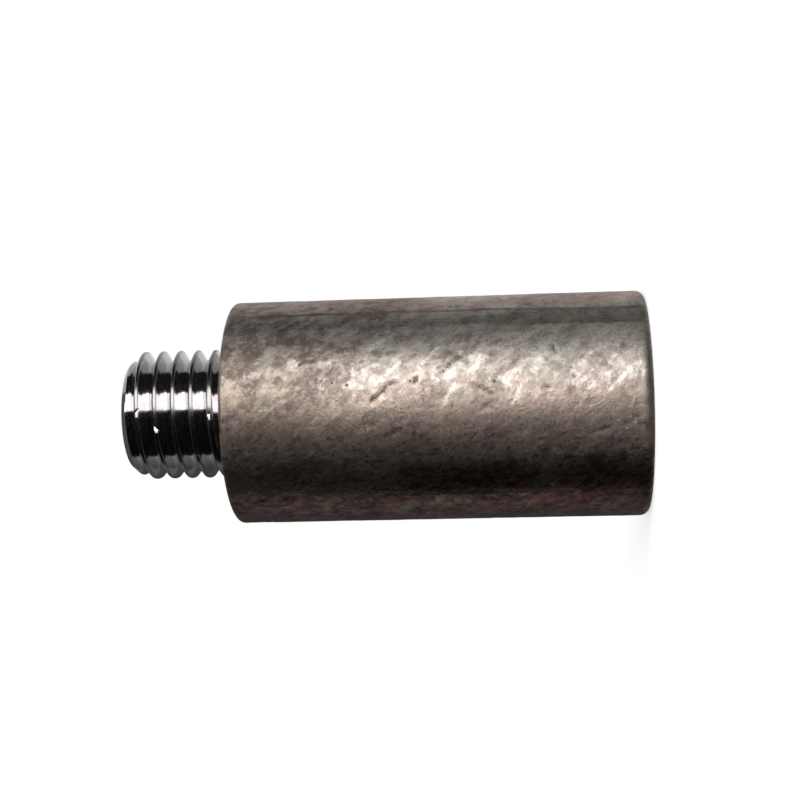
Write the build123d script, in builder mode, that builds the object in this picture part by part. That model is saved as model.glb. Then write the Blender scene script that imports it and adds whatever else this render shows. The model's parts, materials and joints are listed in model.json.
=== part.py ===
from build123d import *

import os
from math import atan2, cos, degrees, radians, sin, sqrt

# A round zinc anode turned from one piece of bar: a plain heavy body, and a short
# threaded stud on its end that screws into a plug or a bracket and carries the current.
# The part stands on its flat foot. Z is the bar's axis, and z = 0 is the foot.

# Driving dimensions, in millimetres
body_diameter = 31.0
body_length = 56.5
foot_round = 1.2  # worn edge of the foot
shoulder_round = 0.7  # broken edge of the shoulder, round the stud

stud_length = 15.0
neck_round = 0.4  # left by the nose of the turning tool in the corner of the shoulder
tip_chamfer_length = 1.8
tip_chamfer_depth = 1.6

thread_diameter = 18.0
thread_pitch = 2.5
thread_clearance = 0.3  # from the shoulder to the vanishing end of the groove
thread_start_angle = 136.8  # round the axis from +X to that vanishing end, in degrees
runout_turns = 0.5  # over which the groove rises to the surface

# Metric thread form: a 60 degree groove, with a flat crest and a narrow flat root
crest_flat = thread_pitch / 8
root_flat = thread_pitch / 6
thread_depth = (thread_pitch - crest_flat - root_flat) / 2 * sqrt(3)
thread_radius = thread_diameter / 2
root_radius = thread_radius - thread_depth
cutter_radius = thread_radius + crest_flat * sqrt(3) / 4  # the tool is wider than the groove
cutter_width = root_flat + (cutter_radius - root_radius) * 2 / sqrt(3)

# Heights on the axis
body_radius = body_diameter / 2
tip_height = body_length + stud_length
full_depth_height = body_length + thread_clearance + runout_turns * thread_pitch
thread_travel = tip_height - full_depth_height + thread_pitch / 2
spare_height = tip_height + 2 * thread_pitch  # the stud is threaded long, then faced off
neck_height = body_length + neck_round

# The groove's centre line climbs from its full depth to past the tip, and below that
# height it winds back the other way up a cone until it leaves the metal.
full_depth_angle = thread_start_angle + 360 * runout_turns
full_depth_place = Pos(Z=full_depth_height) * Rot(Z=full_depth_angle)
runout_height = runout_turns * thread_pitch
runout_slope = atan2(cutter_radius - root_radius, runout_height)
thread_path = full_depth_place * Helix(thread_pitch, thread_travel, root_radius)
runout_path = (
    full_depth_place
    * Rot(X=180)
    * Helix(
        thread_pitch / cos(runout_slope),
        runout_height,
        root_radius,
        cone_angle=degrees(runout_slope),
    )
)
outward = Vector(cos(radians(full_depth_angle)), sin(radians(full_depth_angle)), 0)
groove_plane = Plane(
    origin=(0, 0, full_depth_height),
    x_dir=outward,
    z_dir=outward.cross(Vector(0, 0, 1)),
)

with BuildPart() as zinc_anode:
    # The stud's blank, which still runs on past both of its ends
    with BuildSketch(Plane.XY.offset(body_length - thread_pitch)):
        Circle(thread_radius)
    extrude(amount=spare_height - body_length + thread_pitch)

    # The thread: one groove of constant section, and its run-out beside the shoulder
    for groove_path in (thread_path, runout_path):
        with BuildSketch(groove_plane):
            with BuildLine():
                Polyline(
                    (root_radius, -root_flat / 2),
                    (cutter_radius, -cutter_width / 2),
                    (cutter_radius, cutter_width / 2),
                    (root_radius, root_flat / 2),
                    close=True,
                )
            make_face()
        sweep(path=groove_path, is_frenet=True, mode=Mode.SUBTRACT)

    # The stud is faced off to length and chamfered through its first thread
    tip_face_radius = thread_radius - tip_chamfer_depth
    chamfer_slope = tip_chamfer_length / tip_chamfer_depth
    chamfer_foot = tip_height - (cutter_radius - tip_face_radius) * chamfer_slope
    with BuildSketch(Plane.XZ):
        with BuildLine():
            Polyline(
                (0, tip_height),
                (tip_face_radius, tip_height),
                (cutter_radius, chamfer_foot),
                (cutter_radius, spare_height + thread_pitch),
                (0, spare_height + thread_pitch),
                close=True,
            )
        make_face()
    revolve(axis=Axis.Z, mode=Mode.SUBTRACT)

    # The body closes round the stud's lower end, up to the small radius of the neck
    with BuildSketch(Plane.XZ) as body_section:
        with BuildLine():
            Polyline(
                (thread_radius, neck_height),
                (0, neck_height),
                (0, 0),
                (body_radius, 0),
                (body_radius, body_length),
                (thread_radius + neck_round, body_length),
            )
            RadiusArc((thread_radius + neck_round, body_length), (thread_radius, neck_height), neck_round)
        make_face()
        outer_corners = body_section.vertices().group_by(Axis.X)[-1].sort_by(Axis.Y)
        fillet(outer_corners[0], foot_round)
        fillet(outer_corners[1], shoulder_round)
    revolve(axis=Axis.Z)

zinc_anode.part.label = "zinc_anode"
os.makedirs("parts", exist_ok=True)
export_step(zinc_anode.part, "parts/zinc_anode.step")
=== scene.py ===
import json
from math import ceil, cos, radians, sin, sqrt, tau
from random import Random
from types import SimpleNamespace

import bmesh
import bpy
from mathutils import Matrix, Vector, noise


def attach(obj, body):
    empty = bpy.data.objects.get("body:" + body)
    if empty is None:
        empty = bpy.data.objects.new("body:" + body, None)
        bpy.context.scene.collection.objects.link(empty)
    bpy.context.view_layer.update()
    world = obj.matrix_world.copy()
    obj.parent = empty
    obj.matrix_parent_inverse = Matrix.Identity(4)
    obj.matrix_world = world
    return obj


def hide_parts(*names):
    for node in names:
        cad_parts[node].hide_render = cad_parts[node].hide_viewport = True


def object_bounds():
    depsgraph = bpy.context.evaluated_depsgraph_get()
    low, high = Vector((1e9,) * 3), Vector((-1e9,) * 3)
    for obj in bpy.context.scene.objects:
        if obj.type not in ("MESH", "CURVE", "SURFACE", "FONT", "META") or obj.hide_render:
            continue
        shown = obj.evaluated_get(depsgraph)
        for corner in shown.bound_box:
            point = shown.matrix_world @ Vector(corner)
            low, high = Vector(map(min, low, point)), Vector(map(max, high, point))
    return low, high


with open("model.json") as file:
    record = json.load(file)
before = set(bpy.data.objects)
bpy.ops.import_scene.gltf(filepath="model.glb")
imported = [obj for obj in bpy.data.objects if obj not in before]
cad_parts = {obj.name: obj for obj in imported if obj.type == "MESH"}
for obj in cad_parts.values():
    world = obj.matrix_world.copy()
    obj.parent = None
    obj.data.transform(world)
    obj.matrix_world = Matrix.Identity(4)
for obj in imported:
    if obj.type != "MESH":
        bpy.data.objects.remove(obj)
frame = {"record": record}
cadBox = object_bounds()
scene = bpy.context.scene
mm = 0.001
mergeDistance = 0.004 * mm

# Sizes that the frame gives
mounts = {mount["name"]: mount for mount in frame["record"]["mounts"]}
barRadius = cadBox[1].x
tipHeight = cadBox[1].z
shoulderHeight = mounts["threaded_stud"]["pos_m"][2]
studRadius = mounts["threaded_stud"]["dims"]["r_mm"] * mm
print("frame loaded")


# Node helpers

def addNode(tree, kind, inputs=None, **settings):
    made = tree.nodes.new(kind)
    for name, value in settings.items():
        setattr(made, name, value)
    for key, value in (inputs or {}).items():
        if isinstance(value, bpy.types.NodeSocket):
            tree.links.new(value, made.inputs[key])
        else:
            made.inputs[key].default_value = value
    return made


def calculate(tree, operation, *values):
    return addNode(tree, "ShaderNodeMath", dict(enumerate(values)), operation=operation).outputs[0]


def inSequence(operation, first, others):
    for other in others:
        tree = (first if isinstance(first, bpy.types.NodeSocket) else other).id_data
        first = calculate(tree, operation, first, other)
    return first


def times(first, *others):
    return inSequence("MULTIPLY", first, others)


def plus(first, *others):
    return inSequence("ADD", first, others)


def minus(first, *others):
    return inSequence("SUBTRACT", first, others)


def smoothStep(tree, value, low, high):
    inputs = {"Value": value, "From Min": low, "From Max": high}
    return addNode(tree, "ShaderNodeMapRange", inputs, interpolation_type="SMOOTHSTEP").outputs[0]


def mixColors(tree, share, first, second):
    return addNode(tree, "ShaderNodeMix", {0: share, 6: first, 7: second}, data_type="RGBA").outputs[2]


def newGroup(name, kind, inputs, outputs):
    group = bpy.data.node_groups.new(name, kind)
    for label, socket in inputs.items():
        group.interface.new_socket(label, in_out="INPUT", socket_type="NodeSocket" + socket)
    for label, socket in outputs.items():
        group.interface.new_socket(label, in_out="OUTPUT", socket_type="NodeSocket" + socket)
    return group, addNode(group, "NodeGroupInput").outputs


def newMaterial(name):
    material = bpy.data.materials.new(name)
    material.use_nodes = True
    material.node_tree.nodes.clear()
    return material


def emptyObject(name):
    made = bpy.data.objects.new(name, bpy.data.meshes.new(name))
    scene.collection.objects.link(made)
    return made


# Camera

cameraSetup = {
    "lens": 65.0,
    "yaw": radians(4.634),  # from square to the axis, towards the tip
    "roll": radians(1.507),  # past a quarter turn, which lays the part on its side in the view
    "distance": 201.3 * mm,  # to the middle of the body
    "middleRight": 5.6 * mm,  # where the middle of the body lies in the view
    "middleDown": 1.1 * mm,
}


def addCamera(setup):
    forward = Vector((0, cos(setup["yaw"]), sin(setup["yaw"])))
    level = Vector((0, sin(setup["yaw"]), -cos(setup["yaw"])))
    fall = Vector((-1, 0, 0))
    right = level * cos(setup["roll"]) + fall * sin(setup["roll"])
    down = fall * cos(setup["roll"]) - level * sin(setup["roll"])
    middle = Vector((0, 0, shoulderHeight / 2))
    place = middle - forward * setup["distance"] - right * setup["middleRight"] - down * setup["middleDown"]
    camera = bpy.data.objects.new("camera", bpy.data.cameras.new("camera"))
    camera.data.lens = setup["lens"]
    camera.data.clip_start = 1 * mm
    camera.matrix_world = Matrix.Translation(place) @ Matrix((right, -down, -forward)).transposed().to_4x4()
    scene.collection.objects.link(camera)
    scene.camera = camera


# Studio: a white room, one tall softbox, and cards that only the metal sees

studio = {
    "ambient": 0.55,
    "floorSize": 3.0,
    "floorColor": (0.82, 0.82, 0.82, 1),
    "floorGlow": 0.56,
    "cardDistance": 300 * mm,
    "cardHeight": 1400 * mm,
    "cardStep": 3,  # degrees
    # From and to, in degrees round the part from -Y towards +X, and the brightness at each end
    "cards": {
        "frontFlag": (-97, 11, 0.004, 0.004),
        "sideFlag": (48, 103, 0.008, 0.01),
        "backWall": (103, 182, 0.33, 0.82),
        "dimWall": (-130, -97, 0.11, 0.28),
        "duskWall": (-178, -130, 0.045, 0.1),
    },
    # Flat cards above and below: from and to in the same degrees, height, radius and brightness
    "flatCards": {
        "lidCard": (-180, 180, 700 * mm, 300 * mm, 0.1),
        "lowFrontCard": (-97, 103, -25 * mm, 250 * mm, 0.02),
        "lowBackCard": (103, 182, -25 * mm, 250 * mm, 0.42),
        "lowDimCard": (-178, -97, -25 * mm, 250 * mm, 0.13),
    },
    "softboxFrom": 11,
    "softboxTo": 48,
    "softboxDistance": 420 * mm,
    "softboxHeight": 1960 * mm,
    "softboxPower": 2.9,
}


def azimuthPoint(degrees, distance, height=0.0):
    return Vector((sin(radians(degrees)) * distance, -cos(radians(degrees)) * distance, height))


def finishCard(card, levels):
    level = card.data.attributes.new("level", "FLOAT", "POINT")
    for point, value in zip(level.data, levels):
        point.value = value
    card.data.materials.append(bpy.data.materials["cardFinish"])
    card.visible_camera = card.visible_diffuse = card.visible_shadow = False


def addCard(name, start, end, startLevel, endLevel, setup):
    card = emptyObject(name)
    steps = ceil(abs(end - start) / setup["cardStep"])
    points, faces, levels = [], [], []
    for step in range(steps + 1):
        degrees = start + (end - start) * step / steps
        for side in (-1, 1):
            points.append(azimuthPoint(degrees, setup["cardDistance"], side * setup["cardHeight"] / 2))
            levels.append(startLevel + (endLevel - startLevel) * step / steps)
    for step in range(steps):
        faces.append((2 * step, 2 * step + 1, 2 * step + 3, 2 * step + 2))
    card.data.from_pydata(points, [], faces)
    finishCard(card, levels)


def addFlatCard(name, start, end, height, radius, brightness, setup):
    card = emptyObject(name)
    steps = ceil((end - start) / setup["cardStep"])
    points = [azimuthPoint(start + (end - start) * step / steps, radius, height) for step in range(steps + 1)]
    middle = len(points)
    points.append(azimuthPoint(0, 0, height))
    card.data.from_pydata(points, [], [(middle, step, step + 1) for step in range(steps)])
    finishCard(card, [brightness] * len(points))


def seenDirectly(tree):
    path = addNode(tree, "ShaderNodeLightPath")
    seen = calculate(tree, "MAXIMUM", path.outputs["Is Camera Ray"], path.outputs["Is Glossy Ray"])
    return calculate(tree, "MAXIMUM", seen, path.outputs["Is Transmission Ray"])


def buildWorld(setup):
    world = bpy.data.worlds.new("whiteRoom")
    world.use_nodes = True
    tree = world.node_tree
    tree.nodes.clear()
    levels = {"Value": seenDirectly(tree), "To Min": setup["ambient"], "To Max": 1.0}
    strength = addNode(tree, "ShaderNodeMapRange", levels).outputs[0]
    background = addNode(tree, "ShaderNodeBackground", {"Color": (1, 1, 1, 1), "Strength": strength})
    addNode(tree, "ShaderNodeOutputWorld", {"Surface": background.outputs[0]})
    scene.world = world


def buildFloor(setup):
    paleFloor = newMaterial("paleFloor")
    tree = paleFloor.node_tree
    strength = calculate(tree, "MULTIPLY", seenDirectly(tree), setup["floorGlow"])
    glow = addNode(tree, "ShaderNodeEmission", {"Strength": strength})
    paint = addNode(tree, "ShaderNodeBsdfDiffuse", {"Color": setup["floorColor"]})
    both = addNode(tree, "ShaderNodeAddShader", {0: glow.outputs[0], 1: paint.outputs[0]})
    addNode(tree, "ShaderNodeOutputMaterial", {"Surface": both.outputs[0]})
    floor = emptyObject("floor")
    half = setup["floorSize"] / 2
    corners = [(-half, -half, 0), (half, -half, 0), (half, half, 0), (-half, half, 0)]
    floor.data.from_pydata(corners, [], [(0, 1, 2, 3)])
    floor.data.materials.append(paleFloor)
    floor.visible_glossy = floor.visible_shadow = False


def addSoftbox(setup):
    softbox = bpy.data.objects.new("softbox", bpy.data.lights.new("softbox", "AREA"))
    middle = (setup["softboxFrom"] + setup["softboxTo"]) / 2
    halfSpan = radians(setup["softboxTo"] - setup["softboxFrom"]) / 2
    softbox.data.shape = "RECTANGLE"
    softbox.data.size = 2 * setup["softboxDistance"] * sin(halfSpan) / cos(halfSpan)
    softbox.data.size_y = setup["softboxHeight"]
    softbox.data.energy = setup["softboxPower"]
    place = azimuthPoint(middle, setup["softboxDistance"])
    softbox.matrix_world = Matrix.Translation(place) @ place.to_track_quat("Z", "Y").to_matrix().to_4x4()
    scene.collection.objects.link(softbox)


def buildStudio(setup):
    buildWorld(setup)
    tree = newMaterial("cardFinish").node_tree
    level = addNode(tree, "ShaderNodeAttribute", attribute_name="level")
    glow = addNode(tree, "ShaderNodeEmission", {"Strength": level.outputs["Fac"]})
    addNode(tree, "ShaderNodeOutputMaterial", {"Surface": glow.outputs[0]})
    for name, span in setup["cards"].items():
        addCard(name, *span, setup)
    for name, span in setup["flatCards"].items():
        addFlatCard(name, *span, setup)
    buildFloor(setup)
    addSoftbox(setup)


# Effects that the finishes share

def spiralMaskGroup():
    inputs = {
        "Vector": "Vector", "Lean": "Float", "Stretch": "Float", "Wave": "Float", "Detail": "Float",
        "Low": "Float", "High": "Float",
    }
    tree, given = newGroup("spiralMask", "ShaderNodeTree", inputs, {"Mask": "Float"})
    height = addNode(tree, "ShaderNodeSeparateXYZ", {0: given["Vector"]}).outputs[2]
    angle = calculate(tree, "MULTIPLY", height, given["Lean"])
    twist = addNode(
        tree, "ShaderNodeVectorRotate", {"Vector": given["Vector"], "Angle": angle}, rotation_type="Z_AXIS"
    )
    squeeze = addNode(tree, "ShaderNodeCombineXYZ", {0: 1.0, 1: 1.0, 2: given["Stretch"]})
    place = addNode(
        tree, "ShaderNodeVectorMath", {0: twist.outputs[0], 1: squeeze.outputs[0]}, operation="MULTIPLY"
    )
    cloud = addNode(
        tree, "ShaderNodeTexNoise",
        {
            "Vector": place.outputs[0], "Scale": calculate(tree, "DIVIDE", 1.0, given["Wave"]),
            "Detail": given["Detail"], "Roughness": 0.6,
        },
    )
    addNode(tree, "NodeGroupOutput", {0: smoothStep(tree, cloud.outputs[0], given["Low"], given["High"])})
    return tree


def pitMaskGroup():
    inputs = {"Vector": "Vector", "Spacing": "Float", "Size": "Float", "Share": "Float"}
    tree, given = newGroup("pitMask", "ShaderNodeTree", inputs, {"Mask": "Float"})
    cells = addNode(
        tree, "ShaderNodeTexVoronoi",
        {"Vector": given["Vector"], "Scale": calculate(tree, "DIVIDE", 1.0, given["Spacing"])},
    )
    luck = addNode(tree, "ShaderNodeSeparateColor", {0: cells.outputs["Color"]}).outputs[0]
    reach = calculate(tree, "DIVIDE", given["Size"], given["Spacing"])
    reach = calculate(tree, "MULTIPLY", reach, calculate(tree, "DIVIDE", luck, given["Share"]))
    core = calculate(tree, "MULTIPLY", reach, 0.4)  # fully dark up to here
    near = smoothStep(tree, cells.outputs["Distance"], reach, core)
    chosen = calculate(tree, "LESS_THAN", luck, given["Share"])
    addNode(tree, "NodeGroupOutput", {0: calculate(tree, "MULTIPLY", near, chosen)})
    return tree


def turningMarksGroup():
    inputs = {"Vector": "Vector", "Spacing": "Float", "Waver": "Float"}
    tree, given = newGroup("turningMarks", "ShaderNodeTree", inputs, {"Height": "Float"})
    place = addNode(tree, "ShaderNodeSeparateXYZ", {0: given["Vector"]})
    flat = addNode(tree, "ShaderNodeCombineXYZ", {0: place.outputs[0], 1: place.outputs[1], 2: 0.0})
    radius = addNode(tree, "ShaderNodeVectorMath", {0: flat.outputs[0]}, operation="LENGTH").outputs["Value"]
    travel = calculate(tree, "ADD", radius, place.outputs[2])
    rings = calculate(tree, "DIVIDE", travel, given["Spacing"])
    uneven = addNode(tree, "ShaderNodeTexNoise", {"W": rings, "Scale": 0.7}, noise_dimensions="1D")
    phase = calculate(tree, "ADD", rings, calculate(tree, "MULTIPLY", uneven.outputs[0], given["Waver"]))
    wave = calculate(tree, "SINE", calculate(tree, "MULTIPLY", phase, tau))
    addNode(tree, "NodeGroupOutput", {0: calculate(tree, "MULTIPLY", wave, uneven.outputs[0])})
    return tree


# Finishes

cloudLean = 0.4 / barRadius  # radians of twist for each metre up the bar
scuffLean = 1 / barRadius  # so that scuffs lie at 45 degrees

scuffed = {
    "tan": (0.82, 0.64, 0.55, 1),
    "greenGreyPaintedLight": (0.78, 0.735, 0.65, 1),
    "rose": (0.37, 0.11, 0.105, 1),
    "mauve": (0.76, 0.48, 0.46, 1),
    "olive": (0.6, 0.61, 0.47, 1),
    "gold": (0.68, 0.55, 0.41, 1),
    "paintedLightCopper": (0.92, 0.68, 0.54, 1),
    "brown": (0.2, 0.145, 0.12, 1),
    "dark": (0.085, 0.053, 0.042, 1),
    "bare": (0.86, 0.77, 0.71, 1),
    # Masks: wavelength, stretch along the bar, the noise at which each starts and is full, detail and lean
    "masks": {
        "clouds": (6 * mm, 0.8, 0.36, 0.64, 4.0, cloudLean),
        "mildew": (4.5 * mm, 0.9, 0.46, 0.62, 4.0, cloudLean),
        "blotches": (2.2 * mm, 0.9, 0.4, 0.62, 5.0, cloudLean),
        "wear": (1.8 * mm, 0.8, 0.32, 0.68, 4.0, cloudLean),
        "patches": (1.1 * mm, 1.0, 0.44, 0.6, 5.0, 0.0),
        "scuffs": (0.7 * mm, 0.5, 0.36, 0.66, 4.0, scuffLean),
        "grain": (0.4 * mm, 1.0, 0.36, 0.64, 3.0, 0.0),
        "dust": (0.2 * mm, 1.0, 0.3, 0.7, 2.0, 0.0),
        "drawn": (0.3 * mm, 0.03, 0.3, 0.7, 2.0, 0.0),  # lines of the drawing die
        "wander": (4 * mm, 0.2, 0.2, 0.8, 3.0, 0.0),
        "soot": (0.7 * mm, 0.8, 0.5, 0.68, 5.0, cloudLean),
        "pools": (5 * mm, 0.5, 0.34, 0.66, 4.0, 0.0),
        "streaks": (1.1 * mm, 0.45, 0.38, 0.62, 5.0, 0.0),
        "clumps": (0.9 * mm, 0.8, 0.62, 0.42, 5.0, cloudLean),
    },
    # Pits: spacing, size and the share of places that have one
    "pits": {
        "glints": (1.0 * mm, 0.2 * mm, 0.4),
        "specks": (1.1 * mm, 0.2 * mm, 0.35),
        "holes": (2.7 * mm, 0.4 * mm, 0.3),
    },
    # Sides: degrees round the part where each is strongest, and how square to it each starts and is full
    "sides": {
        # greenish tint, made pale as painted light spreading above the highlight
        "green": (42, 0.8, 1.0),
        "mauve": (100, 0.68, 0.85),
        # painted light: a lighter coppery tint on the side just below the highlight
        "rubbed": (-12, 0.93, 1.0),
        "sooty": (-22, 0.93, 0.985),
        # painted shade: the next two mark a dark band down the lower front side
        "murky": (-39, 0.9, 0.97),
        "core": (-39, 0.955, 0.99),
        "washed": (-60, 0.74, 0.92),
        "smooth": (-70, 0.77, 0.94),
        "redder": (-78, 0.55, 0.9),
    },
    # Heights up the bar at which each starts and is full
    "heights": {
        "fresher": (36 * mm, 6 * mm),
        "lower": (36 * mm, 12 * mm),
        "upper": (28 * mm, 46 * mm),
    },
    # The duller end, beyond a slanting line that the blotches move
    "dullLine": (43 * mm, 47 * mm),
    "dullWander": 5 * mm,
    # The rose band, whose edge the clouds move: its side, its edge and that of its dark blotches
    "roseFacing": -78,
    "roseEdge": (0.835, 0.885),
    "redEdge": (0.835, 0.87),
    "roseWander": 0.02,
    "roseShares": (0.65, 0.35),  # of the band and of the redder side round it
    # Mottled shares: the weight of each mask, and what is added
    "roseMottle": ({"patches": 0.5}, 0.6),
    "mauveMottle": ({"patches": 0.6}, 0.3),
    "oliveShare": 0.45,
    "paintedLightShare": 0.6,
    # Brown film: the weight of each mask where it is missing, and the changes by place
    "film": {"patches": 0.2, "blotches": 0.26, "clouds": 0.18, "grain": 0.13, "dust": 0.1},
    "dullFilm": 0.32,
    "greenFilm": 0.5,
    "fresherFilm": 0.06,
    "paintedLightFilm": 0.12,
    "mauveFilm": 0.12,
    # The dark stripe and the dark rim beside it, across the bar in radians
    "stripeFacing": 50.5,
    "stripeSlant": 0.6,  # for each metre up the bar
    "stripeWander": 0.07,
    "stripeEdge": (radians(6) + 0.012, radians(6) - 0.012),
    "stripeMottle": ({"drawn": 0.2, "lower": 0.3}, 0.06),
    "rimPlace": 0.108,
    "rimEdge": (0.034, 0.012),
    "rimMottle": ({"clouds": 0.4}, 0.25),
    # Bare metal where the bar has wear, which along the lit side also paints highlight
    "raggedness": {"wear": 0.7, "patches": 0.35, "scuffs": 0.35, "grain": 0.2},
    "wornEdge": (0.1, 1.2),
    "bareShare": 0.8,
    "glintShare": 0.5,
    # Soot, and the painted shade down the lower front side, with its pools and its core
    "sootShare": 0.75,
    "poolStreaks": 0.9,
    "poolDust": 0.3,
    "poolEdge": (1.4, 0.5),
    "poolShare": 0.9,
    "poolFade": 0.2,  # at the upper end
    "coreMottle": ({"streaks": 0.65}, 0.2),
    "coreFade": 0.5,
    "paintedShadeLimit": 0.95,
    "paintedShadeMottle": ({"clumps": 0.3, "grain": 0.12}, 0.68),
    "redFade": 0.9,
    "redBase": 1.3,
    "redWear": 0.85,
    "redPatches": 0.75,
    "redShare": 0.78,
    # Stains, the painted shade of the crevice, and small dark pits
    "stainAndShadeEdge": (0.2, 0.95),
    "stainAndShadeShare": 0.8,
    "speckShare": 0.75,
    # Roughness and its changes
    "roughness": 0.41,
    "bareRoughness": 0.35,
    "patchRoughness": 0.07,
    "cloudRoughness": 0.07,
    "dustRoughness": 0.08,
    "sideRoughness": {"dull": 0.04, "green": 0.04},
    "fresherRoughness": 0.03,
    "smoothRoughness": -0.16,
    "stripeRoughness": -0.04,
    "darkRoughness": 0.15,
    # Relief, as shares of the depth
    "bumpDepth": 0.1 * mm,
    "relief": {"blotches": 0.14, "patches": 0.07, "scuffs": 0.06, "grain": 0.07, "dust": 0.03},
    "stripeFlatness": 0.7,
    "drawnRelief": 0.01,
    "speckRelief": 0.3,
    # A thin dull oxide over the metal, which is missing on the side with the painted shade and on the red
    # band
    "bloom": 0.5,
    "mauveBloom": 0.25,
    "upperBloom": 0.65,
    "roseBloom": 0.2,
    "bloomMottle": ({"patches": 0.6, "scuffs": 0.6, "grain": 0.4}, 0.25),
}
turned = {
    "masks": {
        "film": (1.6 * mm, 1.0, 0.42, 0.72, 4.0, 0.0),
        "flush": (2.4 * mm, 1.0, 0.4, 0.6, 2.0, 0.0),
    },
    "pits": {"specks": (0.9 * mm, 0.13 * mm, 0.16)},
    "filmShare": 0.5,
    "speckDepth": 2.0,
    "marksWaver": 1.5,
    "crestFrom": studRadius - 0.3 * mm,
    "crestTo": studRadius - 0.05 * mm,
}
bright = {
    **turned,
    "fresh": (0.635, 0.65, 0.645, 1),
    "blush": (0.665, 0.615, 0.625, 1),
    "dull": (0.52, 0.49, 0.49, 1),
    "crest": (0.36, 0.345, 0.345, 1),
    "roughness": 0.1,
    "marksSpacing": 0.11 * mm,
    "marksDepth": 0.0005 * mm,
    "dullRoughness": 0.05,
    "crestRoughness": 0.1,
}
faced = {
    **turned,
    "fresh": (0.62, 0.6, 0.585, 1),
    "blush": (0.6, 0.565, 0.55, 1),
    "dull": (0.48, 0.44, 0.41, 1),
    "crest": (0.6, 0.575, 0.56, 1),
    "roughness": 0.38,
    "marksSpacing": 0.32 * mm,
    "marksDepth": 0.006 * mm,
    "dullRoughness": 0.14,
    "crestRoughness": 0,
}
oxide = {"Coat Roughness": 0.62, "Coat IOR": 2.0}


def facing(tree, place, degrees):
    vectors = {0: place, 1: azimuthPoint(degrees, 1 / barRadius)}
    return addNode(tree, "ShaderNodeVectorMath", vectors, operation="DOT_PRODUCT").outputs["Value"]


def readMasks(tree, groups, mix):
    place = addNode(tree, "ShaderNodeTexCoord").outputs["Object"]
    split = addNode(tree, "ShaderNodeSeparateXYZ", {0: place}).outputs
    found = {"place": place, "sideways": split[0], "inward": split[1], "height": split[2]}
    for name, (wave, stretch, low, high, detail, lean) in mix["masks"].items():
        values = {
            "Vector": place, "Lean": lean, "Stretch": stretch, "Wave": wave, "Detail": detail,
            "Low": low, "High": high,
        }
        found[name] = addNode(tree, "ShaderNodeGroup", values, node_tree=groups["spiralMask"]).outputs[0]
    for name, (spacing, size, share) in mix["pits"].items():
        values = {"Vector": place, "Spacing": spacing, "Size": size, "Share": share}
        found[name] = addNode(tree, "ShaderNodeGroup", values, node_tree=groups["pitMask"]).outputs[0]
    for name, (degrees, low, high) in mix.get("sides", {}).items():
        found[name] = smoothStep(tree, facing(tree, place, degrees), low, high)
    for name, (low, high) in mix.get("heights", {}).items():
        found[name] = smoothStep(tree, split[2], low, high)
    return SimpleNamespace(**found)


def weigh(masks, weights, change=None):
    terms = []
    for name, weight in weights.items():
        mask = getattr(masks, name)
        terms.append(times(change(mask) if change else mask, weight))
    return plus(*terms)


def mottle(masks, weights, base):
    return plus(weigh(masks, weights), base)


def invert(mask):
    return minus(1.0, mask)


def center(mask):
    return minus(mask, 0.5)


def placeRegions(tree, on, mix):
    slant = plus(on.height, on.sideways, times(center(on.blotches), mix["dullWander"]))
    on.dull = smoothStep(tree, slant, *mix["dullLine"])
    on.roseEdge = plus(facing(tree, on.place, mix["roseFacing"]), times(center(on.clouds), mix["roseWander"]))
    band, around = mix["roseShares"]
    rose = smoothStep(tree, on.roseEdge, *mix["roseEdge"])
    on.rose = times(plus(times(rose, band), times(on.redder, around)), mottle(on, *mix["roseMottle"]))

    # The stripe leans a little, with wavy sides, and lies on one side only
    across = facing(tree, on.place, mix["stripeFacing"] + 90)
    across = minus(across, times(minus(on.height, shoulderHeight / 2), mix["stripeSlant"]))
    across = plus(across, times(center(on.wander), mix["stripeWander"]))
    oneSide = calculate(tree, "GREATER_THAN", facing(tree, on.place, mix["stripeFacing"]), 0.0)
    on.stripe = smoothStep(tree, calculate(tree, "ABSOLUTE", across), *mix["stripeEdge"])
    on.stripe = times(on.stripe, oneSide)
    fromRim = calculate(tree, "ABSOLUTE", minus(across, mix["rimPlace"]))
    on.rim = times(smoothStep(tree, fromRim, *mix["rimEdge"]), oneSide)


def placeWear(tree, on, mix):
    bareAndHighlight = addNode(tree, "ShaderNodeAttribute", attribute_name="bareAndHighlight").outputs["Fac"]
    stainAndShade = addNode(tree, "ShaderNodeAttribute", attribute_name="stainAndShade").outputs["Fac"]
    ragged = weigh(on, mix["raggedness"], center)
    on.worn = smoothStep(tree, plus(bareAndHighlight, ragged), *mix["wornEdge"])
    stainedAndShaded = smoothStep(tree, plus(stainAndShade, ragged), *mix["stainAndShadeEdge"])
    on.pitted = plus(on.specks, on.holes)
    on.darkness = plus(times(stainedAndShaded, mix["stainAndShadeShare"]), times(on.pitted, mix["speckShare"]))
    on.darkness = calculate(tree, "MINIMUM", on.darkness, 1.0)


def brownFilm(tree, on, mix):
    film = weigh(on, mix["film"], invert)
    film = plus(film, times(on.dull, mix["dullFilm"]))
    film = plus(film, times(minus(0.5, on.wear), on.green, mix["greenFilm"]))
    # less film towards the foot, and where light is painted below the highlight
    film = minus(film, times(on.fresher, mix["fresherFilm"]), times(on.rubbed, mix["paintedLightFilm"]))
    film = minus(film, times(on.mauve, invert(on.fresher), mix["mauveFilm"]))
    return calculate(tree, "MAXIMUM", film, 0.0)


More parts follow.
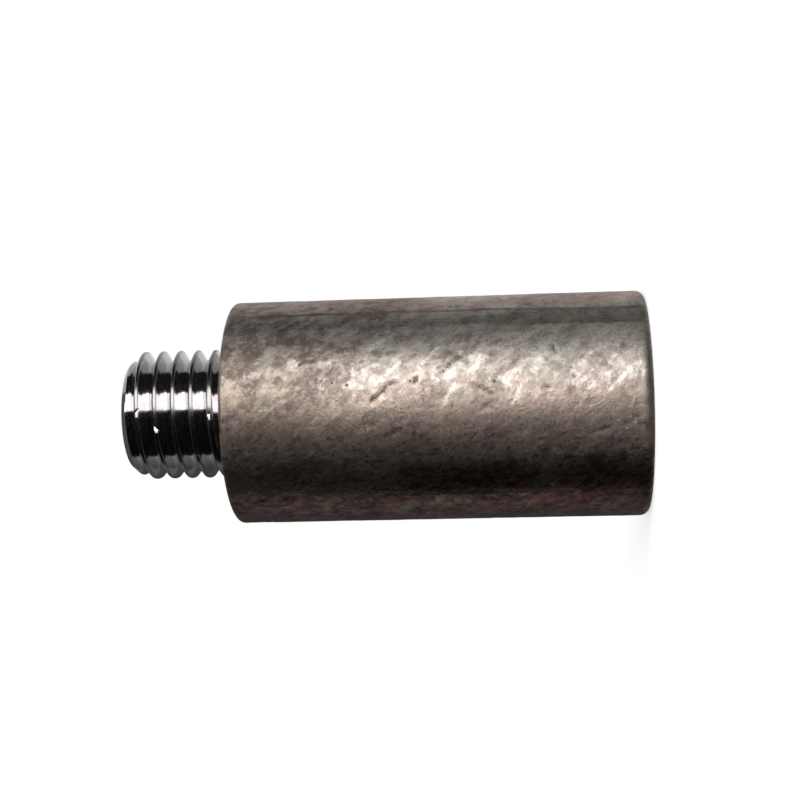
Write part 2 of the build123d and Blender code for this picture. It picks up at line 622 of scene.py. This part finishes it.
# Painted shade: the lower front side is painted dark in a broad band with pools and a darker core; the rose
# band's own dark blotches come out of the same mix
def paintedShadeAndRedBlotches(tree, on, mix):
    pools = plus(on.pools, times(on.streaks, mix["poolStreaks"]), times(on.dust, mix["poolDust"]))
    pools = smoothStep(tree, pools, *mix["poolEdge"])
    pools = times(pools, minus(mix["poolShare"], times(on.upper, mix["poolFade"])))
    core = times(on.core, mottle(on, *mix["coreMottle"]), invert(times(on.upper, mix["coreFade"])))
    paintedShade = calculate(tree, "MINIMUM", plus(times(on.murky, pools), core), mix["paintedShadeLimit"])
    paintedShade = times(paintedShade, mottle(on, *mix["paintedShadeMottle"]))

    # It fades into the rose band, which has dark blotches of its own
    red = smoothStep(tree, on.roseEdge, *mix["redEdge"])
    paintedShade = times(paintedShade, invert(times(red, mix["redFade"])))
    blotches = minus(mix["redBase"], times(on.wear, mix["redWear"]), times(on.patches, mix["redPatches"]))
    return plus(paintedShade, times(red, blotches, mix["redShare"]))


def tintZinc(tree, on, mix):
    layers = [
        # greenish tint, pale as painted light above the highlight
        (on.green, "greenGreyPaintedLight"),
        (on.rose, "rose"),
        (times(on.mauve, mottle(on, *mix["mauveMottle"])), "mauve"),
        (times(on.mildew, mix["oliveShare"]), "olive"),
        # painted light: a lighter coppery tint just below the highlight
        (times(on.rubbed, mix["paintedLightShare"]), "paintedLightCopper"),
        (brownFilm(tree, on, mix), "brown"),
        (times(on.stripe, mottle(on, *mix["stripeMottle"])), "dark"),
        (times(on.rim, mottle(on, *mix["rimMottle"])), "dark"),
        # bare metal on spots of wear, which along the lit side is partly painted highlight
        (times(on.worn, mix["bareShare"]), "bare"),
        (times(on.soot, on.sooty, mix["sootShare"]), "dark"),
        # painted shade down the lower front side, and the rose band's dark blotches
        (paintedShadeAndRedBlotches(tree, on, mix), "dark"),
        (times(on.glints, mix["glintShare"]), "bare"),
        (on.darkness, "dark"),
    ]
    color = mixColors(tree, times(on.dull, on.clouds), mix["tan"], mix["gold"])
    for share, tint in layers:
        color = mixColors(tree, share, color, mix[tint])
    return color


def roughenZinc(on, mix):
    roughness = plus(mix["roughness"], times(minus(0.5, on.patches), mix["patchRoughness"]))
    roughness = plus(roughness, times(minus(0.5, on.clouds), mix["cloudRoughness"]))
    roughness = plus(roughness, times(center(on.dust), mix["dustRoughness"]))
    for name, weight in mix["sideRoughness"].items():
        roughness = plus(roughness, times(getattr(on, name), weight))
    roughness = plus(roughness, times(on.fresher, invert(on.smooth), mix["fresherRoughness"]))
    roughness = plus(roughness, times(on.smooth, mix["smoothRoughness"]))
    roughness = plus(roughness, times(on.stripe, mix["stripeRoughness"]))
    roughness = plus(roughness, times(on.darkness, mix["darkRoughness"]))
    return plus(roughness, times(on.worn, mix["bareRoughness"] - mix["roughness"]))


def raiseZinc(on, mix):
    height = times(weigh(on, mix["relief"]), invert(times(on.stripe, mix["stripeFlatness"])))
    return minus(plus(height, times(on.drawn, mix["drawnRelief"])), times(on.pitted, mix["speckRelief"]))


def bloomZinc(tree, on, mix):
    upper = times(on.upper, mix["upperBloom"], invert(on.rose))
    kept = plus(invert(times(on.washed, invert(upper))), times(on.rose, mix["roseBloom"]))
    bloom = times(kept, minus(mix["bloom"], times(on.mauve, mix["mauveBloom"])))
    return calculate(tree, "MINIMUM", times(bloom, mottle(on, *mix["bloomMottle"])), 1.0)


def finishMaterial(tree, color, roughness, height, depth, bloom):
    bump = addNode(tree, "ShaderNodeBump", {"Strength": 1.0, "Distance": depth, "Height": height})
    inputs = {
        "Base Color": color, "Metallic": 1.0, "Roughness": roughness, "Normal": bump.outputs[0],
        "Coat Weight": bloom, **oxide,
    }
    shader = addNode(tree, "ShaderNodeBsdfPrincipled", inputs)
    addNode(tree, "ShaderNodeOutputMaterial", {"Surface": shader.outputs[0]})


def mixScuffedZinc(groups, mix):
    tree = newMaterial("scuffedZinc").node_tree
    on = readMasks(tree, groups, mix)
    placeRegions(tree, on, mix)
    placeWear(tree, on, mix)
    color, roughness, height = tintZinc(tree, on, mix), roughenZinc(on, mix), raiseZinc(on, mix)
    finishMaterial(tree, color, roughness, height, mix["bumpDepth"], bloomZinc(tree, on, mix))


def mixTurnedZinc(name, groups, mix):
    tree = newMaterial(name).node_tree
    on = readMasks(tree, groups, mix)
    values = {"Vector": on.place, "Spacing": mix["marksSpacing"], "Waver": mix["marksWaver"]}
    marks = addNode(tree, "ShaderNodeGroup", values, node_tree=groups["turningMarks"]).outputs[0]
    inwardSquare = calculate(tree, "MULTIPLY", on.inward, on.inward)
    radius = calculate(tree, "MULTIPLY_ADD", on.sideways, on.sideways, inwardSquare)
    crest = smoothStep(tree, calculate(tree, "SQRT", radius), mix["crestFrom"], mix["crestTo"])
    dullness = calculate(tree, "MULTIPLY_ADD", on.film, mix["filmShare"], on.specks)
    dullness = calculate(tree, "MINIMUM", dullness, 1.0)
    color = mixColors(tree, on.flush, mix["fresh"], mix["blush"])
    color = mixColors(tree, dullness, color, mix["dull"])
    color = mixColors(tree, crest, color, mix["crest"])
    roughness = calculate(tree, "MULTIPLY_ADD", dullness, mix["dullRoughness"], mix["roughness"])
    roughness = calculate(tree, "MULTIPLY_ADD", crest, mix["crestRoughness"], roughness)
    height = minus(marks, times(on.specks, mix["speckDepth"]))
    finishMaterial(tree, color, roughness, height, mix["marksDepth"], 0.0)


def buildFinishes():
    groups = {"spiralMask": spiralMaskGroup(), "pitMask": pitMaskGroup(), "turningMarks": turningMarksGroup()}
    mixScuffedZinc(groups, scuffed)
    mixTurnedZinc("turnedZinc", groups, bright)
    mixTurnedZinc("facedZinc", groups, faced)


# Bar: the body, the shoulder, the neck and the flat of the tip, turned as one skin

bar = {
    "columns": 320,
    "wallRows": 176,
    "footRound": 1.2 * mm,
    "footSteps": 6,
    "shoulderRound": 0.7 * mm,
    "shoulderSteps": 5,
    "neckRound": 0.4 * mm,
    "neckSteps": 3,
    "faceRings": 5,
    # Relief of the wall: depth and wavelength of each layer
    "swell": (0.05 * mm, 9 * mm),
    "wrinkles": (0.04 * mm, 2.6 * mm),
    "ripples": (0.025 * mm, 1.1 * mm),
    "wrinkleStretch": 0.85,
    "wrinkleLean": 0.4,
    # Pits scattered over the wall, with sizes in mm and the lean in degrees
    "pitCount": 260,
    "pitSeed": 7,
    "pitSize": (0.4, 1.3),
    "pitStretch": (1, 2.2),
    "pitLean": (10, 80),
    "pitDepth": (0.02, 0.07),
    "pitStain": (0, 0.6),
    # Edges of the marks: how far they reach, how ragged they are and at what wavelength
    "markReach": 1.2,
    "markRaggedness": 0.5,
    "markWave": 0.8 * mm,
}

# Marks on the wall: degrees round the part from -Y, the height, the length and the width in mm, the lean
# of the long side from the axis, the depth in mm, how bare the metal is (in part a painted highlight) and how
# dark it is painted
marks = [
    # bare patches of wear, which also paint highlight along the lit side
    (23, 46.8, 3.0, 2.2, 0, 0.05, 0.8, 0.0),
    (23.5, 42.2, 4.0, 1.5, 0, 0.05, 0.75, 0.0),
    (17, 52.0, 4.0, 2.0, 20, 0.03, 0.3, 0.0),
    (17.5, 38.2, 7.5, 4.4, 40, 0.03, 0.6, 0.0),
    (13, 42.0, 4.0, 3.0, 30, 0.03, 0.4, 0.0),
    (17.5, 26.8, 5.0, 3.6, 30, 0.04, 0.85, 0.0),
    (20, 23.0, 5.0, 3.6, 45, 0.05, 0.85, 0.0),
    (14.5, 18.5, 4.5, 3.2, 20, 0.05, 0.85, 0.0),
    (21, 14.5, 4.5, 2.6, 30, 0.04, 0.6, 0.0),
    (16, 9.5, 6.5, 4.0, 60, 0.05, 0.85, 0.0),
    (22, 6.0, 3.5, 2.4, 0, 0.05, 0.6, 0.0),
    (17, 2.6, 4.5, 3.4, 45, 0.05, 0.8, 0.0),
    (17, 5.4, 5.0, 4.5, 60, 0.04, 0.75, 0.0),
    (18.5, 15.5, 4.0, 2.6, 30, 0.04, 0.6, 0.0),
    # scratches
    (12.5, 4.5, 7.0, 0.8, 46, 0.06, 2.4, 0.0),
    (-9.4, 3.5, 5.4, 0.8, 38, 0.06, 2.4, 0.0),
    (6.8, 26.3, 6.0, 0.6, 58, 0.05, 1.8, 0.0),
    (4.6, 17.9, 6.0, 0.6, 62, 0.05, 1.7, 0.0),
    (36, 35.0, 8.0, 3.4, 45, 0.02, 0.45, 0.0),
    (33, 35.6, 5.0, 0.9, 44, 0.04, 0.8, 0.0),
    (20, 33.5, 6.5, 0.9, 45, 0.04, 1.5, 0.0),
    (25, 29.0, 6.5, 0.8, 50, 0.04, 1.5, 0.0),
    (12, 21.5, 5.0, 0.5, 52, 0.04, 1.2, 0.0),
    (22, 9.0, 5.0, 0.7, 48, 0.03, 1.2, 0.0),
    (9, 38.5, 4.5, 0.6, 45, 0.03, 0.8, 0.0),
    (27, 18.5, 5.0, 0.6, 46, 0.03, 1.0, 0.0),
    (31, 5.5, 4.5, 0.5, 50, 0.03, 0.9, 0.0),
    (8, 8.5, 4.0, 0.5, 44, 0.04, 1.1, 0.0),
    (38.9, 22.1, 1.7, 0.5, 30, 0.05, 0.9, 0.0),
    # cracks, notches and dark spots
    (21.5, 26.3, 5.4, 0.8, 47, 0.12, 0.0, 0.85),
    (26.2, 44.1, 2.8, 0.6, 8, 0.10, 0.0, 0.8),
    (29.3, 12.7, 1.7, 0.5, 88, 0.10, 0.0, 0.9),
    (14.0, 30.6, 1.9, 0.9, 60, 0.12, 0.0, 0.8),
    (48.7, 17.6, 1.5, 0.9, 0, 0.08, 0.0, 1.0),
    (44.0, 19.6, 6.5, 2.4, 42, 0.05, 0.0, 0.62),
    (8.8, 21.7, 3.3, 0.9, -25, 0.10, 0.0, 0.8),
    (14.5, 10.1, 2.6, 1.2, -30, 0.05, 0.0, 0.4),
    # the crevice: painted shade in it, and a painted glint at its lower end
    (-10.2, 33.4, 3.6, 1.0, 28, 0.03, 0.0, 1.8),
    (-12.0, 34.3, 1.5, 0.8, 28, 0.03, 0.0, 2.0),
    (-13.4, 34.9, 0.9, 0.7, 0, 0.05, 2.0, 0.0),
    (31, 26.0, 5.0, 3.0, 45, 0.03, 0.0, 0.5),
    (13.0, 33.4, 2.6, 1.0, 15, 0.1, 0.0, 0.7),
    (4.5, 36.0, 3.4, 0.5, 48, 0.1, 0.0, 0.75),
    (10.5, 34.6, 2.4, 0.7, 50, 0.1, 0.0, 0.7),
    (33.5, 22.8, 7.0, 1.5, 45, 0.06, 0.0, 0.62),
    (9.2, 13.6, 1.5, 0.6, 0, 0.10, 0.0, 0.8),
    # lines drawn along the bar
    (57, 46, 17, 0.5, 0, 0.02, 0.0, 0.8),
    (60, 30, 9, 0.45, 0, 0.02, 0.0, 0.7),
    (56.5, 13, 12, 0.5, 0, 0.02, 0.0, 0.7),
    (41, 17, 22, 0.5, 0, 0.02, 0.0, 0.6),
    (-54, 51, 8, 0.5, 0, 0.02, 0.0, 0.9),
    (-55, 40, 3, 0.45, 0, 0.02, 0.0, 0.9),
    (-46, 24, 30, 0.6, 0, 0.02, 0.0, 0.7),
    # the foot's and the shoulder's bruised edges
    (-72, 53.5, 7.0, 9.0, 0, 0.22, 0.0, 0.2),
    (140, 54.0, 5.0, 6.0, 0, 0.2, 0.2, 0.0),
    (-150, 1.5, 3.0, 6.0, 0, 0.2, 0.2, 0.0),
]


def roundEdge(radius, height, size, start, end, steps):
    angles = [radians(start + (end - start) * step / steps) for step in range(steps + 1)]
    return [(radius + size * cos(angle), height + size * sin(angle)) for angle in angles]


def ringsBetween(fromRadius, toRadius, height, rings):
    return [(fromRadius + (toRadius - fromRadius) * ring / rings, height) for ring in range(1, rings)]


def wallSection(setup):
    foot, shoulder = setup["footRound"], setup["shoulderRound"]
    wallTop = shoulderHeight - shoulder
    rows = roundEdge(barRadius - foot, foot, foot, -90, 0, setup["footSteps"])
    for row in range(1, setup["wallRows"]):
        rows.append((barRadius, foot + (wallTop - foot) * row / setup["wallRows"]))
    return rows + roundEdge(barRadius - shoulder, wallTop, shoulder, 0, 90, setup["shoulderSteps"])


def shoulderSection(setup):
    edge, neck = barRadius - setup["shoulderRound"], setup["neckRound"]
    flat = ringsBetween(edge, studRadius + neck, shoulderHeight, setup["faceRings"])
    root = roundEdge(studRadius + neck, shoulderHeight + neck, neck, -90, -180, setup["neckSteps"])
    return [(edge, shoulderHeight)] + flat + root


def spiralPlace(degrees, height, stretch, wave, lean=0.0):
    turn = radians(degrees) + lean * height / barRadius
    return Vector((barRadius * cos(turn), barRadius * sin(turn), height * stretch)) / wave


def wallRelief(degrees, height, setup):
    stretch = setup["wrinkleStretch"]
    depth = 0
    for layer in ("swell", "wrinkles", "ripples"):
        size, wave = setup[layer]
        place = spiralPlace(degrees, height, stretch, wave, setup["wrinkleLean"])
        depth += size * (0.5 + 0.5 * noise.noise(place))  # the noise runs from -1 to 1
    return depth


def scatterPits(setup):
    random = Random(setup["pitSeed"])
    pits = []
    for pit in range(setup["pitCount"]):
        size = random.uniform(*setup["pitSize"])
        around, up = random.uniform(-180, 180), random.uniform(0, shoulderHeight / mm)
        deep = random.uniform(*setup["pitDepth"])
        lean = random.uniform(*setup["pitLean"])
        long = size * random.uniform(*setup["pitStretch"])
        pits.append((around, up, long, size, lean, deep, 0.0, random.uniform(*setup["pitStain"])))
    return pits


def stampMark(skin, mark, setup):
    around, up, long, wide, lean, deep, bare, stainedAndShaded = mark
    reach = (long + wide) * mm
    leanUp, leanSide = cos(radians(lean)), sin(radians(lean))
    for row in skin:
        rise = row["height"] - up * mm
        if abs(rise) > reach:
            continue
        for point in row["points"]:
            side = radians((point["degrees"] - around + 180) % 360 - 180) * barRadius
            if abs(side) > reach:
                continue
            along = (side * leanSide - rise * leanUp) / (long / 2 * mm)
            across = (side * leanUp + rise * leanSide) / (wide / 2 * mm)
            ragged = noise.noise(spiralPlace(point["degrees"], row["height"], 1, setup["markWave"]))
            inside = setup["markReach"] + setup["markRaggedness"] * ragged - along ** 2 - across ** 2
            weight = min(1.0, max(0.0, inside)) ** 2
            point["depth"] += deep * mm * weight
            point["bareAndHighlight"] = max(point["bareAndHighlight"], bare * weight)
            point["stainAndShade"] = max(point["stainAndShade"], stainedAndShaded * weight)


def makeSkin(setup):
    skin = []
    for radius, height in wallSection(setup):
        points = []
        for column in range(setup["columns"]):
            degrees = 360 * column / setup["columns"] + 90
            points.append({
                "degrees": degrees, "depth": wallRelief(degrees, height, setup), "bareAndHighlight": 0.0, "stainAndShade": 0.0,
            })
        skin.append({"radius": radius, "height": height, "points": points})
    for mark in marks + scatterPits(setup):
        stampMark(skin, mark, setup)
    return skin


def latheRows(mesh, rows, columns):
    rings = []
    for radius, height in rows:
        if radius == 0:
            rings.append([mesh.verts.new((0, 0, height))] * columns)
            continue
        turns = [tau * column / columns for column in range(columns)]
        rings.append([mesh.verts.new((radius * cos(turn), radius * sin(turn), height)) for turn in turns])
    for lower, upper in zip(rings, rings[1:]):
        for column in range(columns):
            after = (column + 1) % columns
            corners = [lower[column], lower[after], upper[after], upper[column]]
            mesh.faces.new(list(dict.fromkeys(corners)))
    return rings


def shapeWall(mesh, setup):
    bareAndHighlight, stainAndShade = (mesh.verts.layers.float.new(name) for name in ("bareAndHighlight", "stainAndShade"))
    skin = makeSkin(setup)
    rings = latheRows(mesh, [(row["radius"], row["height"]) for row in skin], setup["columns"])
    for row, ring in zip(skin, rings):
        edge = setup["footRound"] if row["height"] < shoulderHeight / 2 else setup["shoulderRound"]
        share = 1 - (barRadius - row["radius"]) / edge  # the flat faces stay flat
        for point, corner in zip(row["points"], ring):
            corner.co.xy *= 1 - share * point["depth"] / row["radius"]
            corner[bareAndHighlight] = point["bareAndHighlight"]
            corner[stainAndShade] = point["stainAndShade"]


# Stud: one helical groove cut into a plain cylinder, by a tree that follows the helix

stud = {
    "pitch": 2.5 * mm,
    "clearance": 0.3 * mm,  # from the shoulder to the vanishing end of the groove
    "startTurn": 136.8 / 360,  # of that end, from +X
    "runoutTurns": 0.5,
    "toolLift": 1.67 * mm,
    "grooveDepth": 1.4 * mm,
    "flankSetback": 0.04 * mm,
    "crestSoftness": 0.25 * mm,
    "rootSoftness": 0.3 * mm,
    "chamferLength": 1.8 * mm,
    "chamferDepth": 1.6 * mm,
    "rowsPerTurn": 16,
    # Nicks scattered over the crests, with sizes in mm and angles in degrees
    "nickSeed": 11,
    "nickCount": 22,
    "nickFacing": (60, 320),  # away from the front
    "nickCrests": (1.5, 2.5, 3.5, 4.5),  # in turns of the groove
    "nickSize": (0.3, 0.7),
    "nickLean": (-90, 90),
    "nickDepth": (0.03, 0.1),
    "nickTurn": (-25, 25),  # of the flat bottom, from straight outwards
    # Nicks that show in front: degrees round the part, height, length and width in mm, lean of the long
    # side, depth in mm, and the degrees that the nick's flat bottom faces
    "nicks": [
        (1.5, 69.0, 1.6, 0.8, 60, 0.1, 14),
        (-12.8, 66.75, 1.8, 0.95, -37, 0.24, 15),
        (-3.0, 59.05, 1.2, 0.45, 90, 0.12, 14),
    ],
}


def threadTree():
    inputs = dict.fromkeys((
        "Radius", "Pitch", "Base Height", "Tip Height", "Groove Start", "Start Turn", "Groove Depth",
        "Flank Setback", "Crest Softness", "Root Softness", "Runout Turns", "Tool Lift", "Chamfer Length",
        "Chamfer Depth",
    ), "Float")
    inputs.update({"Columns": "Int", "Rows Per Turn": "Int", "Finish": "Material"})
    tree, given = newGroup("cutThread", "GeometryNodeTree", inputs, {"Geometry": "Geometry"})
    tree.is_modifier = True
    radius, pitch = given["Radius"], given["Pitch"]

    def math(operation, *values):
        return calculate(tree, operation, *values)

    # The grid spans whole turns, with a spare one at each end
    span = math("SUBTRACT", given["Tip Height"], given["Base Height"])
    turns = math("ADD", math("CEIL", math("DIVIDE", span, pitch)), 3.0)
    rows = math("ADD", math("MULTIPLY", turns, given["Rows Per Turn"]), 1.0)
    grid = addNode(
        tree, "GeometryNodeMeshGrid",
        {"Size X": 1.0, "Size Y": 1.0, "Vertices X": math("ADD", given["Columns"], 1.0), "Vertices Y": rows},
    )
    place = addNode(tree, "ShaderNodeSeparateXYZ", {0: addNode(tree, "GeometryNodeInputPosition").outputs[0]})
    turn = math("ADD", place.outputs[0], 0.5)
    climb = math("MULTIPLY", math("ADD", place.outputs[1], 0.5), turns)
    ahead = math("SUBTRACT", turn, given["Start Turn"])

    # Heights follow the helix from below the groove's start, and stop at both ends
    room = math("DIVIDE", math("SUBTRACT", given["Groove Start"], given["Base Height"]), pitch)
    helixTurn = math("SUBTRACT", math("ADD", climb, ahead), math("CEIL", math("ADD", room, 1.0)))
    freeHeight = math("ADD", math("MULTIPLY", helixTurn, pitch), given["Groove Start"])
    height = math("MINIMUM", math("MAXIMUM", freeHeight, given["Base Height"]), given["Tip Height"])

    # Depth of the groove at this height: 60 degree flanks, a rounded crest and a narrow root
    along = math("SUBTRACT", math("DIVIDE", math("SUBTRACT", height, given["Groove Start"]), pitch), ahead)
    nearest = math("ROUND", along)
    aside = math("MULTIPLY", math("ABSOLUTE", math("SUBTRACT", along, nearest)), pitch)
    halfWidth = math("MULTIPLY", pitch, 7 / 16)  # the crest's flat is an eighth of the pitch
    flank = math("MULTIPLY", math("SUBTRACT", halfWidth, aside), sqrt(3))
    flank = math("SUBTRACT", flank, given["Flank Setback"])
    groove = math("SMOOTH_MIN", flank, given["Groove Depth"], given["Root Softness"])
    travel = math("DIVIDE", math("ADD", nearest, ahead), given["Runout Turns"])
    lift = math("SUBTRACT", 1.0, math("MINIMUM", math("MAXIMUM", travel, 0.0), 1.0))
    groove = math("SUBTRACT", groove, math("MULTIPLY", lift, given["Tool Lift"]))

    # One row below the base still has the groove, which makes its ledge there, and the rest are uncut
    ledge = math("SUBTRACT", given["Base Height"], math("DIVIDE", pitch, given["Rows Per Turn"]))
    groove = math("SMOOTH_MAX", groove, 0.0, given["Crest Softness"])
    groove = math("MULTIPLY", groove, math("GREATER_THAN", freeHeight, ledge))
    cutRadius = math("SUBTRACT", radius, groove)

    # The chamfer of the tip
    tipFace = math("SUBTRACT", radius, given["Chamfer Depth"])
    slope = math("DIVIDE", given["Chamfer Depth"], given["Chamfer Length"])
    cone = math("ADD", tipFace, math("MULTIPLY", math("SUBTRACT", given["Tip Height"], height), slope))
    cutRadius = math("MINIMUM", cutRadius, cone)

    angle = math("MULTIPLY", turn, tau)
    sideways = math("MULTIPLY", cutRadius, math("COSINE", angle))
    inward = math("MULTIPLY", cutRadius, math("SINE", angle))
    point = addNode(tree, "ShaderNodeCombineXYZ", {0: sideways, 1: inward, 2: height}).outputs[0]
    made = grid
    for kind, inputs in (
        ("GeometryNodeSetPosition", {"Position": point}),
        ("GeometryNodeMergeByDistance", {"Distance": mergeDistance}),
        ("GeometryNodeRealizeInstances", {}),
        ("GeometryNodeSetMaterial", {"Material": given["Finish"]}),
    ):
        made = addNode(tree, kind, {"Geometry": made.outputs[0], **inputs})
    addNode(tree, "NodeGroupOutput", {0: made.outputs[0]})
    return tree


def cutStud(setup):
    maker = emptyObject("studMaker")
    modifier = maker.modifiers.new("cutThread", "NODES")
    modifier.node_group = threadTree()
    values = {
        "Radius": studRadius,
        "Pitch": setup["pitch"],
        "Base Height": shoulderHeight + bar["neckRound"],
        "Tip Height": tipHeight,
        "Groove Start": shoulderHeight + setup["clearance"],
        "Start Turn": setup["startTurn"],
        "Groove Depth": setup["grooveDepth"],
        "Flank Setback": setup["flankSetback"],
        "Crest Softness": setup["crestSoftness"],
        "Root Softness": setup["rootSoftness"],
        "Runout Turns": setup["runoutTurns"],
        "Tool Lift": setup["toolLift"],
        "Chamfer Length": setup["chamferLength"],
        "Chamfer Depth": setup["chamferDepth"],
        "Columns": bar["columns"],
        "Rows Per Turn": setup["rowsPerTurn"],
        "Finish": bpy.data.materials["turnedZinc"],
    }
    for socket in modifier.node_group.interface.items_tree:
        if socket.in_out == "INPUT":
            modifier[socket.identifier] = values[socket.name]
    made = bpy.data.meshes.new_from_object(maker.evaluated_get(bpy.context.evaluated_depsgraph_get()))
    bpy.data.objects.remove(maker)
    return made


def scatterNicks(setup):
    random = Random(setup["nickSeed"])
    nicks = []
    for nick in range(setup["nickCount"]):
        degrees = random.uniform(*setup["nickFacing"])
        turn = (degrees - 90) / 360 - setup["startTurn"] + random.choice(setup["nickCrests"])
        height = (shoulderHeight + setup["clearance"] + turn * setup["pitch"]) / mm  # of a crest
        size = random.uniform(*setup["nickSize"])
        lean = random.uniform(*setup["nickLean"])
        deep = random.uniform(*setup["nickDepth"])
        bottomFacing = degrees + random.uniform(*setup["nickTurn"])
        nicks.append((degrees, height, 2 * size, size, lean, deep, bottomFacing))
    return nicks


def nickCrests(mesh, setup):
    aboveNeck = shoulderHeight + 1 * mm
    crests = [corner for corner in mesh.verts if corner.co.z > aboveNeck]
    for degrees, height, long, wide, lean, deep, bottomFacing in setup["nicks"] + scatterNicks(setup):
        middle = azimuthPoint(degrees, studRadius - deep * mm, height * mm)
        around, outward = azimuthPoint(degrees + 90, 1), azimuthPoint(degrees, 1)
        normal = azimuthPoint(bottomFacing, 1)
        leanUp, leanSide = cos(radians(lean)), sin(radians(lean))
        for corner in crests:
            offset = corner.co - middle
            if offset.length > long * mm:
                continue
            along = (offset.dot(around) * leanSide - offset.z * leanUp) / (long / 2 * mm)
            across = (offset.dot(around) * leanUp + offset.z * leanSide) / (wide / 2 * mm)
            proud = offset.dot(normal)
            if along ** 2 + across ** 2 < 1 and proud > 0:
                corner.co -= outward * (proud / outward.dot(normal))


# The whole anode: which finish each face has, and one closed skin

sharpFrom = radians(32)
flatness = 0.001 * mm  # within which a face lies on a flat


def finishOf(face):
    middle = face.calc_center_median()
    for flat in (0, shoulderHeight, tipHeight):
        if abs(middle.z - flat) < flatness:
            return "facedZinc"
    onWall = middle.z < shoulderHeight and middle.xy.length > studRadius + bar["neckRound"]
    return "scuffedZinc" if onWall else "turnedZinc"


def buildAnode():
    finishes = ["scuffedZinc", "turnedZinc", "facedZinc"]
    shape = bmesh.new()
    shapeWall(shape, bar)
    columns, rings = bar["columns"], bar["faceRings"]
    latheRows(shape, shoulderSection(bar), columns)
    foot = barRadius - bar["footRound"]
    latheRows(shape, [(0, 0)] + ringsBetween(0, foot, 0, rings) + [(foot, 0)], columns)
    tip = studRadius - stud["chamferDepth"]
    tipRings = ringsBetween(tip, 0, tipHeight, rings)
    latheRows(shape, [(tip, tipHeight)] + tipRings + [(0, tipHeight)], columns)
    threaded = cutStud(stud)
    shape.from_mesh(threaded)
    bpy.data.meshes.remove(threaded)
    bmesh.ops.remove_doubles(shape, verts=shape.verts, dist=mergeDistance)
    nickCrests(shape, stud)
    for face in shape.faces:
        face.material_index = finishes.index(finishOf(face))
        face.smooth = True
    anode = emptyObject("zincAnode")
    shape.to_mesh(anode.data)
    shape.free()
    for name in finishes:
        anode.data.materials.append(bpy.data.materials[name])
    anode.data.set_sharp_from_angle(angle=sharpFrom)
    return anode


addCamera(cameraSetup)
print("camera set")
buildStudio(studio)
print("studio built")
buildFinishes()
print("finishes mixed")
anode = buildAnode()
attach(anode, "root")
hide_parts("zinc_anode")
print("anode built:", len(anode.data.polygons), "faces")

scene.view_settings.view_transform = "Standard"
